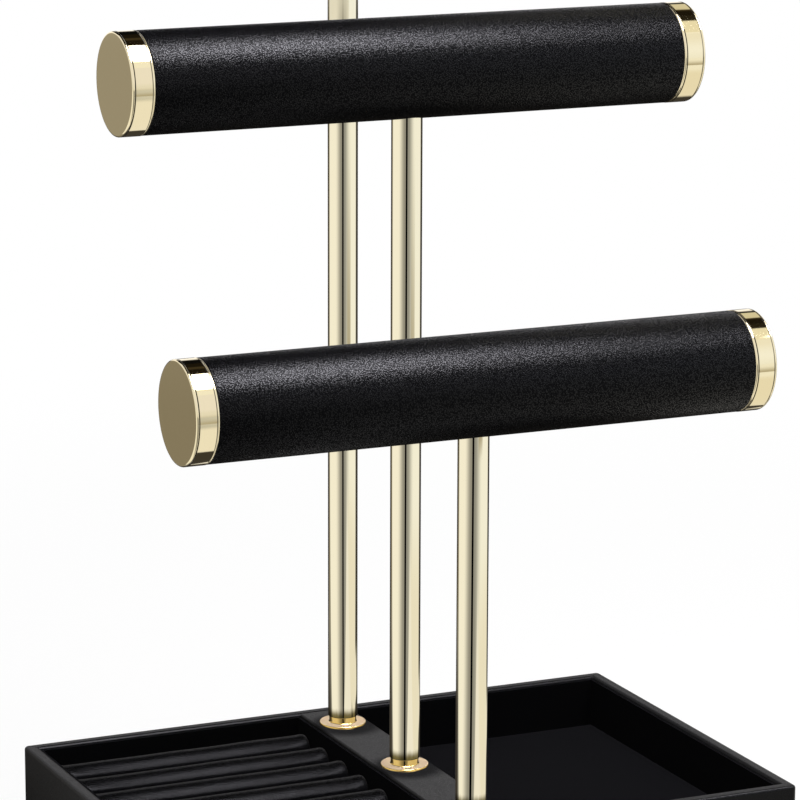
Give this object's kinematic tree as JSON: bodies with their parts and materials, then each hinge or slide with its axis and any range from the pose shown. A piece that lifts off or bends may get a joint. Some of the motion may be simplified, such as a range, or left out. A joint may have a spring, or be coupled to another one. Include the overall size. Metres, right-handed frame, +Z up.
{
  "type": "jewelry stand with drawer",
  "caption": "Tiered jewellery stand: wrapped bars on gold posts over a tray base with ring rolls, an open lined tray and a sliding drawer with a knob.",
  "frame": {"origin": "middle of the flat underside of the base", "axes": "+X to the right along the bars, +Y to the back, +Z up; the drawer opens towards -Y"},
  "size_m": [0.259, 0.188, 0.4836],
  "materials": {
    "leatherette": "black PU leather, fine pebble grain, satin",
    "champagne_metal": "champagne gold plating on steel, polished",
    "flange_metal": "warm gold plating, polished",
    "velvet": "black velvet",
    "felt": "black needle felt",
    "board": "MDF wrapped in black paper",
    "dowel_wood": "turned wood",
    "steel": "zinc-plated"
  },
  "bodies": {
    "case": {"left_wall": "leatherette", "right_wall": "leatherette", "back_wall": "leatherette", "front_rail": "leatherette", "bottom_felt": "felt", "bottom_board": "board", "tray_deck": "board", "post_rail": "leatherette", "ring_tray_liner": "velvet", "open_tray_liner": "velvet", "ring_roll_1": "leatherette", "ring_roll_2": "leatherette", "ring_roll_3": "leatherette", "ring_roll_4": "leatherette", "ring_roll_5": "leatherette", "ring_roll_6": "leatherette", "ring_roll_7": "leatherette", "ring_roll_8": "leatherette", "post_front": "champagne_metal", "bar_core_front": "dowel_wood", "bar_wrap_front": "leatherette", "bar_caps_front": "champagne_metal", "post_middle": "champagne_metal", "bar_core_middle": "dowel_wood", "bar_wrap_middle": "leatherette", "bar_caps_middle": "champagne_metal", "post_rear": "champagne_metal", "bar_core_rear": "dowel_wood", "bar_wrap_rear": "leatherette", "bar_caps_rear": "champagne_metal", "post_flanges": "flange_metal", "post_bolts": "steel"},
    "drawer": {"drawer_front": "leatherette", "drawer_left_side": "board", "drawer_right_side": "board", "drawer_back": "board", "drawer_bottom": "board", "drawer_liner": "velvet", "drawer_knob": "champagne_metal", "knob_screw": "steel"}
  },
  "joints": [
    {"name": "drawer_slide", "type": "slide", "parent": "case", "child": "drawer", "axis": [0, -1, 0], "range_m": [0, 0.12]}
  ]
}
